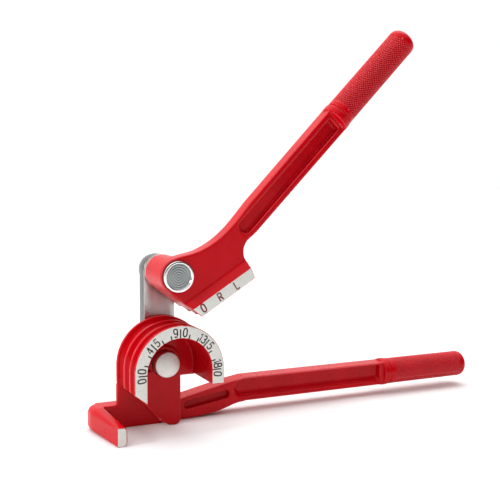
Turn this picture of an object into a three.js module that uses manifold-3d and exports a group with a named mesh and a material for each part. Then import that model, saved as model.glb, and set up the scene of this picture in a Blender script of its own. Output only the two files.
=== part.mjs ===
// Manual lever tube bender with a three-groove former, drawn in millimetres, +Z up.
// Origin: the flat underside of the base, straight below the former's pivot axis and in the
// middle of the base plate's thickness. +X runs along the lower handle, -Y faces the scale.
import * as THREE from 'three';
import { mergeVertices } from 'three/addons/utils/BufferGeometryUtils.js';
import Module from 'manifold-3d';

const wasm = await Module();
wasm.setup();

// ---- driving dimensions -------------------------------------------------------------------
const BEND_R = 25;                        // centre-line radius of a bend, and radius of the rim
const TUBE_D = [6.35, 7.94, 9.53];        // tube sizes, front groove to back groove
const LAND_W = [1.5, 2.1, 2.2, 1.9];      // lands in front of, between and behind the grooves
const FLANGE_R = 25.7;                    // rim of the back land, which guides the shoe
const RING_BORE_R = 18;                   // round opening inside the former's ring
const WEB_T = 4;                          // back wall of that opening
const GAP = 0.3;                          // running and assembly clearance

const PIVOT_H = 35.1;                     // pivot axis above the underside of the base
const PLATE_T = 11.2;                     // base plate and lower arm
const LINK_L = 50.3;                      // distance between the two pivots
const LINK_T = 7.8;
const LINK_HALF_W = 9;

const ARM_H = 14;                         // height of both arms' I-section
const SHOE_ARM_T = 9;
const GRIP_R = 8.1;
const LOWER_GRIP_L = 60.4;
const UPPER_GRIP_L = 63.8;
const POCKET_TO_COLLAR = 3;               // solid arm between a pocket and its collar
const COLLAR_R = 8.5;
const COLLAR_L = 4;
const STUD_R = 3;
const STUD_HOLE = 1.5;                    // depth of the stud's hole in an arm, behind the collar
const STUD_GRIP_L = 21;                   // length of the stud inside a grip

const PIN_R = 6;                          // journals of both pins
const CENTRE_HEAD_R = 7.05;
const SHOE_HEAD_R = 8.25;
const SHOE_ANGLE = 31.7;                  // shoe face above the horizontal as the tool stands
const HANDLE_ANGLE = 14.3;                // upper arm above the shoe face
const SHOE_L = 36.5;                      // length of the shoe face
const SHOE_BOSS_R = 9.5;

// ---- places that follow from them, along Y --------------------------------------------------
const sum = (list) => list.reduce((total, value) => total + value, 0);
const FORMER_W = sum(TUBE_D) + sum(LAND_W);
const PLATE_FRONT = -PLATE_T / 2;
const PLATE_BACK = PLATE_T / 2;
const FRONT = PLATE_FRONT - FORMER_W;     // the scale face
const WASHER_T = 1;
const LINK_FRONT = PLATE_FRONT + WASHER_T + 2 * GAP;
const LINK_BACK = LINK_FRONT + LINK_T;
const CLIP_Y = LINK_BACK + GAP + WASHER_T + GAP;
const PIN_END = CLIP_Y + 2.2;
const POST_FRONT = FRONT + 24;
const CENTRE_HEAD_FRONT = FRONT + 19.5;
const SHOE_FRONT = FRONT + 0.4;
const SHOE_BACK = PLATE_FRONT - LAND_W[3] - GAP;
const SHOE_ARM_FRONT = FRONT + 4;
const SHOE_ARM_MID = SHOE_ARM_FRONT + SHOE_ARM_T / 2;
const LOWER_ARM_Z = 13.5;                  // height of the lower arm's centre line
const LOWER_ARM_END = 149;
const UPPER_GRIP_START = [129.5, 22.2];   // from the shoe pin, along and above the shoe face

// ---- solids ---------------------------------------------------------------------------------
const rad = THREE.MathUtils.degToRad;

function solid(geometry) {
  const bare = geometry.clone();
  bare.deleteAttribute('normal');
  bare.deleteAttribute('uv');
  const merged = mergeVertices(bare, 1e-4);
  return new wasm.Manifold(new wasm.Mesh({
    numProp: 3,
    vertProperties: Float32Array.from(merged.attributes.position.array),
    triVerts: Uint32Array.from(merged.index.array),
  }));
}

// An outline in X and Z, made solid from y0 to y1.
function slab(outline, y0, y1) {
  const geometry = new THREE.ExtrudeGeometry(polygon(outline), { depth: y1 - y0, bevelEnabled: false });
  return solid(geometry.rotateX(Math.PI / 2).translate(0, y1, 0));
}

// An outline in X and Y, made solid from z0 to z1.
function floorPlan(outline, z0, z1) {
  const geometry = new THREE.ExtrudeGeometry(polygon(outline), { depth: z1 - z0, bevelEnabled: false });
  return solid(geometry.translate(0, 0, z0));
}

// An outline in Y and Z, made solid from x0 to x1.
function sideView(outline, x0, x1) {
  const geometry = new THREE.ExtrudeGeometry(polygon(outline), { depth: x1 - x0, bevelEnabled: false });
  return solid(geometry.rotateX(Math.PI / 2).rotateZ(Math.PI / 2).translate(x0, 0, 0));
}

function polygon(points) {
  return new THREE.Shape(points.map(([a, b]) => new THREE.Vector2(a, b)));
}

// A profile of [radius, y] points turned about the Y axis.
function turned(profile, segments = 48) {
  const points = profile.map(([r, y]) => new THREE.Vector2(r, y));
  return solid(new THREE.LatheGeometry(points, segments));
}

function rod(r, y0, y1, segments = 48) {
  return turned([[0, y0], [r, y0], [r, y1], [0, y1]], segments);
}

function ring(inner, outer, y0, y1, segments = 48) {
  return turned([[inner, y0], [outer, y0], [outer, y1], [inner, y1], [inner, y0]], segments);
}

function arc(cx, cz, r, from, to, steps) {
  const points = [];
  for (let i = 0; i <= steps; i += 1) {
    const angle = rad(from + ((to - from) * i) / steps);
    points.push([cx + r * Math.cos(angle), cz + r * Math.sin(angle)]);
  }
  return points;
}

// A smooth run through a few points, for the flowing edges of the castings.
function flow(points, steps) {
  const curve = new THREE.CatmullRomCurve3(points.map(([a, b]) => new THREE.Vector3(a, b, 0)));
  return curve.getPoints(steps).map((p) => [p.x, p.y]);
}

function joined(...parts) {
  return parts.reduce((whole, part) => whole.add(part));
}

// A pocket along a line: round at its start, and round or nearly square at its end.
function pocketOutline([x0, z0], [x1, z1], half, endR = half) {
  const heading = (Math.atan2(z1 - z0, x1 - x0) * 180) / Math.PI;
  const [cos, sin] = [Math.cos(rad(heading)), Math.sin(rad(heading))];
  const corner = (side, from) => arc(
    x1 - endR * cos - side * (half - endR) * sin,
    z1 - endR * sin + side * (half - endR) * cos,
    endR, heading + from, heading + from + 90, 4);
  return [...corner(-1, -90), ...corner(1, 0), ...arc(x0, z0, half, heading + 90, heading + 270, 8)];
}

// ---- the grooved rim, shared by former and shoe -----------------------------------------------
// Points [height, y] across the grooves: height is measured from the bend's centre line.
function grooveLine() {
  const line = [[0, FRONT]];
  let y = FRONT + LAND_W[0];
  TUBE_D.forEach((d, i) => {
    arc(0, 0, d / 2, 180, 0, 10).forEach(([along, depth]) => line.push([depth, y + d / 2 + along]));
    y += d + LAND_W[i + 1];
  });
  return line;
}

// Section through the ring at radius BEND_R, as [radius, y] points from the bore outwards.
function ringSection() {
  const rim = grooveLine().map(([depth, y]) => [BEND_R - depth, y]);
  const flangeY = PLATE_FRONT - LAND_W[3];
  return [[RING_BORE_R, FRONT], ...rim, [FLANGE_R, flangeY], [FLANGE_R, PLATE_FRONT],
    [RING_BORE_R, PLATE_FRONT]];
}

// ---- former casting ------------------------------------------------------------------------------
const LEG_END = 10;                       // the left leg runs this far below the pivot axis
const RIGHT_LEG_END = 8;
const LEG_LAP = 0.2;                      // overlap that joins the straight legs to the ring
const LINK_CLEARANCE_Z = PIVOT_H - LINK_HALF_W - 1.3;
const HOOK_TOP = 13.1;
const HOOK_BACK = 2.2;
const HOOK_TIP_Y = FRONT - 2;
const BASE_FRONT = PLATE_FRONT - LAND_W[3];

function formerRing() {
  const section = ringSection();
  const box = new THREE.BoxGeometry(4 * BEND_R, 4 * FORMER_W, 2 * BEND_R).translate(0, 0, BEND_R);
  const half = turned([...section, section[0]], 72).intersect(solid(box));
  const left = floorPlan(section.map(([r, y]) => [-r, y]).reverse(), -LEG_END - 7, LEG_LAP);
  const right = floorPlan(section, -RIGHT_LEG_END, LEG_LAP);
  const belowLeg = slab([[-40, 1.75], [-25, -LEG_END], [-17.2, -16], [-10, -24], [-40, -24]],
    FRONT - 1, PLATE_FRONT + 1);
  return joined(half, left.subtract(belowLeg), right);
}

function postOutline() {
  return [[-18.3, -4.5], [-18.3, -15.1], [-17.2, -16], [-10.4, -22.8], [-3, -31.6],
    ...arc(4.2, 6.5 - PIVOT_H, 6.5, 225, 270, 5), ...arc(5.9, 3.3 - PIVOT_H, 3.3, 270, 360, 6),
    ...arc(0, 0, 9.2, 0, 205, 20)];
}

function formerPost() {
  const outline = postOutline();
  const webOutline = [[-18.4, -8.5], [18.4, -8.5], ...arc(0, 0, 18.4, 0, 180, 32)];
  const behind = new THREE.BoxGeometry(60, 60, 40).translate(0, 0, LINK_CLEARANCE_Z - PIVOT_H - 20);
  return joined(
    slab(outline, POST_FRONT, PLATE_FRONT),
    slab(outline, POST_FRONT, 0).intersect(solid(behind)),
    slab(webOutline, PLATE_FRONT - WEB_T, PLATE_FRONT),
  );
}

// Outline of the base plate and lower arm, measured from the origin.
function plateOutline() {
  const top = LOWER_ARM_Z + ARM_H / 2;
  const bottom = LOWER_ARM_Z - ARM_H / 2;
  return [
    [-21.5, 0],
    ...flow([[14, 0], [24, 0.8], [33, 1.9], [40, 3.6], [46, 5.5], [53, bottom]], 14),
    [LOWER_ARM_END, bottom],
    [LOWER_ARM_END, top],
    ...flow([[53, top], [43, 18.9], [33, 16.8], [22, 14.4], [9.2, 11.5]], 12),
    [9.2, LINK_CLEARANCE_Z],
    [-21.5, LINK_CLEARANCE_Z],
  ];
}

// The hook that holds the tube's end, with the bridge that joins it to the base.
function tubeHook() {
  const plan = [
    [-20, BASE_FRONT], [-33.8, BASE_FRONT], [-29, HOOK_TIP_Y + 1.5], [-30.2, HOOK_TIP_Y],
    [-34.9, HOOK_TIP_Y], [-40.7, PLATE_FRONT + 2.5],
    ...arc(-35.7, HOOK_BACK - 5, 5, 180, 90, 6), [-20, HOOK_BACK],
  ];
  const side = [[HOOK_BACK + 1, 0], [HOOK_TIP_Y - 1, 0], [HOOK_TIP_Y - 1, 10], [BASE_FRONT - 2, HOOK_TOP],
    [HOOK_BACK + 1, HOOK_TOP]];
  return floorPlan(plan.reverse(), -1, HOOK_TOP + 1).intersect(sideView(side, -45, -15));
}

function formerCasting() {
  const lift = (part) => part.translate([0, 0, PIVOT_H]);
  const pocketHalf = ARM_H / 2 - 3;
  const pocketEnd = [LOWER_ARM_END - POCKET_TO_COLLAR, LOWER_ARM_Z];
  const rearPocket = pocketOutline([60, LOWER_ARM_Z], pocketEnd, pocketHalf, 1);
  const frontPocket = pocketOutline([50, LOWER_ARM_Z], pocketEnd, pocketHalf, 1);
  const rootPocket = pocketOutline([16.5, 8.2], [42.2, 12.1], 2.6);
  const backWall = [[-FLANGE_R, 0], [0, 0], [0, LINK_CLEARANCE_Z], [-FLANGE_R, LINK_CLEARANCE_Z]];
  const collar = alongX(rod(COLLAR_R, -0.5, COLLAR_L, 32)).translate([LOWER_ARM_END, 0, LOWER_ARM_Z]);
  const studHole = alongX(rod(STUD_R + GAP, -STUD_HOLE, COLLAR_L + 1, 24))
    .translate([LOWER_ARM_END, 0, LOWER_ARM_Z]);
  return joined(lift(formerRing()), lift(formerPost()), slab(plateOutline(), PLATE_FRONT, PLATE_BACK),
    slab(backWall, BASE_FRONT, PLATE_FRONT + 0.8), tubeHook(), collar)
    .subtract(slab(frontPocket, PLATE_FRONT - 1, PLATE_FRONT + 3.8))
    .subtract(slab(rearPocket, PLATE_BACK - 3.8, PLATE_BACK + 1))
    .subtract(slab(rootPocket, PLATE_FRONT - 1, PLATE_FRONT + 3.8))
    .subtract(studHole)
    .subtract(lift(rod(CENTRE_HEAD_R + GAP, POST_FRONT - 1, PLATE_FRONT + 1, 48)));
}

// ---- shoe casting, about the shoe pin's axis with the shoe face level --------------------------
const SHOE_TOP = -14.7;                   // where the front bevel starts
const STRIP_TOP = -18.9;                  // top edge of the marked strip

function shoePlateOutline() {
  const slope = Math.tan(rad(HANDLE_ANGLE));
  const [gripX, gripZ] = UPPER_GRIP_START;
  const mid = (x) => gripZ - (gripX - x) * slope;
  const half = ARM_H / 2 / Math.cos(rad(HANDLE_ANGLE));
  const end = gripX - COLLAR_L + 1;
  const lean = Math.tan(rad(HANDLE_ANGLE)) * half;
  return [
    ...arc(0, 0, SHOE_BOSS_R, 95, 200, 12), [-1.6, -BEND_R + 2],
    [SHOE_L - 0.5, -BEND_R + 2], [SHOE_L, SHOE_TOP],
    ...arc(46.4, -15, 9.3, 165, 104, 7), [50, mid(50) - half],
    [end + lean, mid(end) - half], [end - lean, mid(end) + half],
    ...flow([[56, mid(56) + half], [42, 6.3], [34, 4.6], [27, 3.9], [20.6, 4.2],
      [15, 5.2], [8, 7.6], [3, 9.2]], 18),
  ];
}

function shoeBlock() {
  const line = grooveLine().filter(([, y]) => y < SHOE_BACK);
  const face = line.map(([depth, y]) => [Math.max(y, SHOE_FRONT), -BEND_R + depth]);
  const section = [...face, [SHOE_BACK, -BEND_R], [SHOE_BACK, SHOE_TOP + 1], [SHOE_ARM_FRONT, SHOE_TOP + 1],
    [SHOE_ARM_FRONT, SHOE_TOP], [SHOE_FRONT, STRIP_TOP]];
  const ends = slab([[-5.6, -12], [-0.5, -BEND_R - 1], [SHOE_L - 1, -BEND_R - 1], [SHOE_L + 1.2, -12]],
    FRONT - 1, PLATE_FRONT);
  return sideView(section, -10, SHOE_L + 5).intersect(ends);
}

function shoeCasting() {
  const slope = Math.tan(rad(HANDLE_ANGLE));
  const [gripX, gripZ] = UPPER_GRIP_START;
  const onLine = (x) => [x, gripZ - (gripX - x) * slope];
  const pocketEnd = onLine(gripX - COLLAR_L - POCKET_TO_COLLAR);
  const pocket = pocketOutline(onLine(46.8), pocketEnd, ARM_H / 2 - 3, 1);
  const backRib = [...arc(0, 0, SHOE_BOSS_R, 150, 205, 6), [-3.1, -BEND_R + 6], [5, -BEND_R + 6], [-2, -2]];
  const armEnd = [gripX, SHOE_ARM_MID, gripZ];
  const atArmEnd = (part) => alongX(part).rotate([0, -HANDLE_ANGLE, 0]).translate(armEnd);
  const collar = atArmEnd(rod(COLLAR_R, -COLLAR_L, 0, 32));
  const studHole = atArmEnd(rod(STUD_R + GAP, -COLLAR_L - STUD_HOLE, 1, 24));
  return joined(
    slab(shoePlateOutline(), SHOE_ARM_FRONT, SHOE_ARM_FRONT + SHOE_ARM_T),
    rod(SHOE_BOSS_R, SHOE_ARM_FRONT, SHOE_BACK, 48),
    slab(backRib, SHOE_ARM_FRONT + 1, SHOE_BACK),
    shoeBlock(),
    collar,
  )
    .subtract(slab(pocket, SHOE_ARM_FRONT - 1, SHOE_ARM_FRONT + 3.2))
    .subtract(slab(pocket, SHOE_ARM_FRONT + SHOE_ARM_T - 3.2, SHOE_ARM_FRONT + SHOE_ARM_T + 1))
    .subtract(studHole)
    .subtract(rod(PIN_R + 1.5 + 2 * GAP, FRONT, PLATE_FRONT, 48));
}

// ---- turned and pressed pieces -------------------------------------------------------------------
// Lays a solid made along +Y down along +X.
function alongX(part) {
  return part.rotate([0, 0, -90]);
}

function grip(length) {
  const profile = [[0, GAP], [GRIP_R - 0.4, GAP], [GRIP_R, 1.2], [GRIP_R, length - 4],
    ...arc(0, 0, 4, 0, 75, 5).map(([r, y]) => [GRIP_R - 4 + r, length - 4 + y]), [0, length]];
  return turned(profile, 40).subtract(rod(STUD_R + GAP, -1, STUD_GRIP_L + GAP, 24));
}

function stud() {
  return rod(STUD_R, GAP - COLLAR_L - STUD_HOLE, STUD_GRIP_L, 24);
}

function pinGroove(r) {
  return [[r, CLIP_Y - 0.1], [r - 0.8, CLIP_Y - 0.1], [r - 0.8, CLIP_Y + 1.1], [r, CLIP_Y + 1.1]];
}

function centrePin() {
  const shoulder = PLATE_FRONT - 0.5;
  return turned([[0, CENTRE_HEAD_FRONT], [CENTRE_HEAD_R - 0.4, CENTRE_HEAD_FRONT],
    [CENTRE_HEAD_R, CENTRE_HEAD_FRONT + 0.4], [CENTRE_HEAD_R, shoulder], [PIN_R, shoulder],
    ...pinGroove(PIN_R), [PIN_R, PIN_END - 0.6], [PIN_R - 0.6, PIN_END], [0, PIN_END]]);
}

function shoePin() {
  const face = SHOE_ARM_FRONT - GAP - 2;
  return turned([[0, face + 0.9], [SHOE_HEAD_R - 1.7, face + 0.7], [SHOE_HEAD_R - 1.3, face],
    [SHOE_HEAD_R - 0.5, face], [SHOE_HEAD_R, face + 0.5], [SHOE_HEAD_R, face + 2], [PIN_R, face + 2],
    ...pinGroove(PIN_R), [PIN_R, PIN_END - 0.6], [PIN_R - 0.6, PIN_END], [0, PIN_END]]);
}

// Open spring clip in the groove at a pin's back end.
function clip() {
  const inner = PIN_R - 0.8 + GAP;
  const outline = [...arc(0, 0, inner + 3, -60, 240, 30), ...arc(0, 0, inner, 240, -60, 30)];
  return slab(outline, CLIP_Y, CLIP_Y + 1);
}

function washer(y0, thickness, outer = 8.6) {
  return ring(PIN_R + GAP, outer, y0, y0 + thickness);
}

function linkBar() {
  const outline = [...arc(0, 0, LINK_HALF_W, 180, 360, 18), ...arc(0, LINK_L, LINK_HALF_W, 0, 180, 18)];
  return slab(outline, LINK_FRONT, LINK_BACK)
    .subtract(rod(PIN_R + 1.5 + 2 * GAP, LINK_FRONT - 1, LINK_BACK + 1))
    .subtract(rod(PIN_R + GAP, LINK_FRONT - 1, LINK_BACK + 1).translate([0, 0, LINK_L]));
}

// ---- materials and assembly --------------------------------------------------------------------
const RED = { color: 0xc0081c, roughness: 0.3, metalness: 0.1 };
const STEEL = { color: 0xa9a9a6, roughness: 0.4, metalness: 1 };
const CHROME = { color: 0xd8d8d6, roughness: 0.15, metalness: 1 };
const BRONZE = { color: 0xa57a45, roughness: 0.45, metalness: 1 };
const SPRING = { color: 0x4b4b4d, roughness: 0.5, metalness: 1 };

function piece(name, part, finish) {
  const mesh = part.getMesh();
  const geometry = new THREE.BufferGeometry();
  geometry.setAttribute('position', new THREE.BufferAttribute(Float32Array.from(mesh.vertProperties), 3));
  geometry.setIndex([...mesh.triVerts]);
  geometry.computeVertexNormals();
  const node = new THREE.Mesh(geometry, new THREE.MeshStandardMaterial(finish));
  node.name = name;
  return node;
}

function groupAt(z, nodes) {
  const group = new THREE.Group();
  group.position.z = z;
  group.add(...nodes);
  return group;
}

// A grip and the stud that holds it, laid along an arm from the place where the grip starts.
function handleEnd(name, length, [x, y, z], angle) {
  const group = new THREE.Group();
  group.position.set(x, y, z);
  group.rotation.y = -rad(angle);
  group.add(piece(`${name}_grip`, alongX(grip(length)), RED));
  group.add(piece(`${name}_grip_stud`, alongX(stud()), STEEL));
  return group;
}

const lowerHandle = groupAt(0, [
  piece('former_casting', formerCasting(), RED),
  handleEnd('former', LOWER_GRIP_L, [LOWER_ARM_END + COLLAR_L, 0, LOWER_ARM_Z], 0),
]);

const centrePivot = groupAt(PIVOT_H, [
  piece('centre_pin', centrePin(), STEEL),
  piece('centre_spacer', washer(PLATE_FRONT + GAP, WASHER_T), STEEL),
  piece('centre_rear_washer', washer(LINK_BACK + GAP, WASHER_T), STEEL),
  piece('centre_clip', clip(), SPRING),
  piece('link_bar', linkBar(), STEEL),
  piece('link_bush', ring(PIN_R + GAP, PIN_R + 1.5 + GAP, LINK_FRONT, LINK_BACK), BRONZE),
]);

const shoePivot = groupAt(PIVOT_H + LINK_L, [
  piece('shoe_pin', shoePin(), CHROME),
  piece('shoe_spacer', washer(SHOE_BACK + GAP, LINK_FRONT - SHOE_BACK - 2 * GAP), STEEL),
  piece('shoe_rear_washer', washer(LINK_BACK + GAP, WASHER_T), STEEL),
  piece('shoe_clip', clip(), SPRING),
]);

const upperHandle = groupAt(PIVOT_H + LINK_L, [
  piece('shoe_casting', shoeCasting(), RED),
  piece('shoe_bush', ring(PIN_R + GAP, PIN_R + 1.5 + GAP, SHOE_ARM_FRONT, SHOE_BACK), BRONZE),
  handleEnd('shoe', UPPER_GRIP_L, [UPPER_GRIP_START[0], SHOE_ARM_MID, UPPER_GRIP_START[1]], HANDLE_ANGLE),
]);
upperHandle.rotation.y = -rad(SHOE_ANGLE);

const tubeBender = new THREE.Group();
tubeBender.add(lowerHandle, centrePivot, shoePivot, upperHandle);

export default tubeBender;
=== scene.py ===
"""Detailed pieces, finishes and studio for the manual tube bender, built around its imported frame."""

import math

import bmesh
import bpy
import numpy as np
from mathutils import Matrix, Vector


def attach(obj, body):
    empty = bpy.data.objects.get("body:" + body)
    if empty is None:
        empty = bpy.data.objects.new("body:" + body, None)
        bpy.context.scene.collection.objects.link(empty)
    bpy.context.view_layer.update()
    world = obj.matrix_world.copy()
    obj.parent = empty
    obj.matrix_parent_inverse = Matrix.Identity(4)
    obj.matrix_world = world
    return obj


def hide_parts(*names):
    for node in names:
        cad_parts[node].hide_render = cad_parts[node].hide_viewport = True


bl_info = {
    "name": "Manual tube bender",
    "version": (1, 0, 0),
    "blender": (4, 5, 0),
    "location": "View3D > Sidebar > Tube bender",
    "description": "Builds the castings, grips, pins, scale and studio of a lever tube bender",
    "category": "Object",
}

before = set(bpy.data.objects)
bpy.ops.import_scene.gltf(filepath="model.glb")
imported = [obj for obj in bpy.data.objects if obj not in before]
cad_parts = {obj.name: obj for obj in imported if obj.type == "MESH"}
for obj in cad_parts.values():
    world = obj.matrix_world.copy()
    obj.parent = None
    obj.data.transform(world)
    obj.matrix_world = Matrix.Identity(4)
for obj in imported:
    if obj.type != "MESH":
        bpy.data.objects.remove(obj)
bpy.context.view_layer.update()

# ---- sizes in millimetres, the same as the frame's ------------------------------------------
MM = 0.001
BEND_R = 25.0
TUBE_D = (6.35, 7.94, 9.53)
LAND_W = (1.5, 2.1, 2.2, 1.9)
FLANGE_R = 25.7
RING_BORE_R = 18.0
GAP = 0.3
PIVOT_H = 35.1
PLATE_FRONT = -5.6
PLATE_BACK = 5.6
FORMER_W = sum(TUBE_D) + sum(LAND_W)
FRONT = PLATE_FRONT - FORMER_W
LINK_L = 50.3
LINK_FRONT = PLATE_FRONT + 1.6
LINK_BACK = LINK_FRONT + 7.8
LINK_HALF_W = 9.0
CLIP_Y = LINK_BACK + 1.6
PIN_END = CLIP_Y + 2.2
ARM_H = 14.0
LOWER_ARM_Z = 13.5
LOWER_ARM_END = 149.0
COLLAR_R = 8.5
COLLAR_L = 4.0
GRIP_R = 8.1
LOWER_GRIP_L = 60.4
UPPER_GRIP_L = 63.8
PIN_R = 6.0
CENTRE_HEAD_R = 7.05
SHOE_HEAD_R = 8.25
POST_FRONT = FRONT + 24.0
CENTRE_HEAD_FRONT = FRONT + 19.5
HOOK_TOP = 13.1
HOOK_BACK = 2.2
HOOK_TIP_Y = FRONT - 2.0
BASE_FRONT = PLATE_FRONT - LAND_W[3]
LINK_CLEARANCE_Z = PIVOT_H - LINK_HALF_W - 1.3
SHOE_ANGLE = 31.7
HANDLE_ANGLE = 14.3
SHOE_L = 36.5
SHOE_BOSS_R = 9.5
SHOE_FRONT = FRONT + 0.4
SHOE_BACK = BASE_FRONT - GAP
SHOE_ARM_FRONT = FRONT + 4.0
SHOE_ARM_T = 9.0
SHOE_TOP = -14.7
STRIP_TOP = -18.9
UPPER_GRIP_START = (129.5, 22.2)

BUSH_R = PIN_R + 2.1
POST_R = 9.2
RAIL_W = 3
LOWER_POCKET_D = 3.8
UPPER_POCKET_D = 3.2
TIP_L = 4
GROOVE_STEPS = 22
OVAL_STEPS = 20

CENTRE_PIVOT = Vector((0, 0, PIVOT_H))
SHOE_PIVOT = Vector((0, 0, PIVOT_H + LINK_L))
SHOE_TURN = Matrix.Rotation(-math.radians(SHOE_ANGLE), 4, "Y")

# ---- finishing and studio, with places in metres and angles in degrees ------------------------
SMOOTH_ROUNDS = 6
SHARP_ANGLE = 28
BARE_REACH = 0.07
# Where the painted highlight on convex edges and knurl crests starts and is full, and the most of it that
# shows.
HIGHLIGHT_CREST = (0.522, 0.57, 0.5)
# Parts of a unit normal along Y: below the first a face is a side, above the second it looks forward.
SIDE_LIMIT = 0.35
FRONT_LIMIT = 0.9
FLOOR_R = 8.0
# The place of each light, the point it looks at and its size.
KEY_LIGHT = ((-0.95, -0.1, 0.5), (0, -0.02, 0.06), 0.22)
TOP_LIGHT = ((0.3, 0.12, 0.98), (0.08, 0, 0.08), 0.7)
CAMERA_PLACE = (-0.1574, -0.45342, 0.1414)
# Azimuth, elevation and roll.
CAMERA_TURN = (25.341, 5.338, 0.368)


# ---- settings ----------------------------------------------------------------------------------
class BenderShape(bpy.types.PropertyGroup):
    cast_step: bpy.props.FloatProperty(
        name="Casting step", description="Mesh size of the castings, which sets how soft their edges are",
        default=0.00042, min=0.0002, max=0.002, precision=5, unit="LENGTH")
    knurl_pitch: bpy.props.FloatProperty(
        name="Knurl pitch", description="Distance between the knurl's teeth around a grip",
        default=0.00144, min=0.0005, max=0.004, precision=5, unit="LENGTH")
    knurl_depth: bpy.props.FloatProperty(
        name="Knurl depth", description="Height of the knurl's teeth",
        default=0.0005, min=0.0, max=0.001, precision=5, unit="LENGTH")
    mark_width: bpy.props.FloatProperty(
        name="Mark width", description="Stroke width of the numbers and ticks",
        default=0.0007, min=0.0002, max=0.002, precision=5, unit="LENGTH")


class BenderFinish(bpy.types.PropertyGroup):
    paint: bpy.props.FloatVectorProperty(
        name="Paint", description="Colour of the castings and grips",
        subtype="COLOR", size=3, default=(0.54, 0.0004, 0.006), min=0.0, max=1.0)
    # A painted highlight: a paler colour laid on convex edges and knurl crests.
    painted_edge_highlight: bpy.props.FloatVectorProperty(
        name="Painted edge highlight", description="Painted highlight colour on sharp edges and knurl teeth",
        subtype="COLOR", size=3, default=(0.9, 0.22, 0.24), min=0.0, max=1.0)
    bare: bpy.props.FloatVectorProperty(
        name="Bare metal", description="Colour of the ground faces that carry the marks",
        subtype="COLOR", size=3, default=(0.78, 0.77, 0.73), min=0.0, max=1.0)
    ink: bpy.props.FloatVectorProperty(
        name="Scale ink", description="Colour of the numbers on the ring",
        subtype="COLOR", size=3, default=(0.012, 0.008, 0.008), min=0.0, max=1.0)
    shoe_ink: bpy.props.FloatVectorProperty(
        name="Shoe ink", description="Colour of the marks on the shoe",
        subtype="COLOR", size=3, default=(0.16, 0.01, 0.016), min=0.0, max=1.0)
    gloss: bpy.props.FloatProperty(
        name="Paint roughness", description="Roughness of the paint",
        subtype="FACTOR", default=0.3, min=0.05, max=1.0)


class BenderStage(bpy.types.PropertyGroup):
    key: bpy.props.FloatProperty(
        name="Key light", description="Power of the light on the left",
        default=5.0, min=0.0, unit="POWER")
    top: bpy.props.FloatProperty(
        name="Top light", description="Power of the light overhead",
        default=3.0, min=0.0, unit="POWER")
    lens: bpy.props.FloatProperty(
        name="Lens", description="Focal length of the camera on a 36 mm sensor",
        default=62.05, min=10.0, unit="CAMERA")


# ---- meshes ------------------------------------------------------------------------------------
def make_object(name, points, faces):
    """A mesh object from points in millimetres."""
    mesh = bpy.data.meshes.new(name)
    mesh.from_pydata([(x * MM, y * MM, z * MM) for x, y, z in points], [], faces)
    bm = bmesh.new()
    bm.from_mesh(mesh)
    bmesh.ops.recalc_face_normals(bm, faces=bm.faces)
    bm.to_mesh(mesh)
    bm.free()
    obj = bpy.data.objects.new(name, mesh)
    bpy.context.scene.collection.objects.link(obj)
    return obj


def prism(outline, lo, hi, axis="y"):
    """An outline made solid along one axis. It lies in X and Z for y, and in Y and Z for x."""
    def place(a, b, height):
        return (a, height, b) if axis == "y" else (height, a, b)

    n = len(outline)
    points = [place(a, b, lo) for a, b in outline] + [place(a, b, hi) for a, b in outline]
    sides = [(i, (i + 1) % n, n + (i + 1) % n, n + i) for i in range(n)]
    return make_object("prism", points, [tuple(range(n)), tuple(range(n, 2 * n))] + sides)


def lathe(profile, name="turned", segments=96, closed=False):
    """A profile of (radius, y) points turned about the Y axis."""
    rows = len(profile)
    points = []
    for r, y in profile:
        for i in range(segments):
            angle = 2 * math.pi * i / segments
            points.append((r * math.cos(angle), y, r * math.sin(angle)))
    faces = []
    spans = rows if closed else rows - 1
    for j in range(spans):
        k = (j + 1) % rows
        for i in range(segments):
            i2 = (i + 1) % segments
            faces.append((j * segments + i, j * segments + i2, k * segments + i2, k * segments + i))
    if not closed:
        faces.append(tuple(range(segments)))
        faces.append(tuple(range((rows - 1) * segments, rows * segments)))
    return make_object(name, points, faces)


def arc(cx, cz, r, start, end, steps):
    """Points round a centre, between two angles in degrees."""
    turn = [math.radians(start + (end - start) * i / steps) for i in range(steps + 1)]
    return [(cx + r * math.cos(t), cz + r * math.sin(t)) for t in turn]


def flow(points, steps):
    """A smooth run through a few points."""
    p = [Vector(q) for q in points]
    p = [2 * p[0] - p[1]] + p + [2 * p[-1] - p[-2]]
    out = []
    for i in range(1, len(p) - 2):
        for j in range(steps):
            t = j / steps
            a, b, c, d = p[i - 1], p[i], p[i + 1], p[i + 2]
            bend, twist = 2 * a - 5 * b + 4 * c - d, 3 * b - a - 3 * c + d
            q = 0.5 * (2 * b + (c - a) * t + bend * t * t + twist * t ** 3)
            out.append((q.x, q.y))
    return out + [tuple(points[-1])]


def pocket_outline(start, end, half, end_r):
    """A pocket along a line: round at its start and nearly square at its end."""
    heading = math.degrees(math.atan2(end[1] - start[1], end[0] - start[0]))
    c, s = math.cos(math.radians(heading)), math.sin(math.radians(heading))

    def corner(side, turn):
        x = end[0] - end_r * c - side * (half - end_r) * s
        z = end[1] - end_r * s + side * (half - end_r) * c
        return arc(x, z, end_r, heading + turn, heading + turn + 90, 6)

    return corner(-1, -90) + corner(1, 0) + arc(start[0], start[1], half, heading + 90, heading + 270, 20)


def move(obj, matrix):
    obj.data.transform(matrix)
    return obj


def shift(obj, x=0.0, y=0.0, z=0.0):
    return move(obj, Matrix.Translation((x * MM, y * MM, z * MM)))


def bake(obj, smooth=True):
    """Applies an object's modifiers to its mesh."""
    graph = bpy.context.evaluated_depsgraph_get()
    mesh = bpy.data.meshes.new_from_object(obj.evaluated_get(graph))
    old = obj.data
    obj.modifiers.clear()
    obj.data = mesh
    bpy.data.meshes.remove(old)
    if smooth:
        mesh.polygons.foreach_set("use_smooth", [True] * len(mesh.polygons))
    return obj


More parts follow.
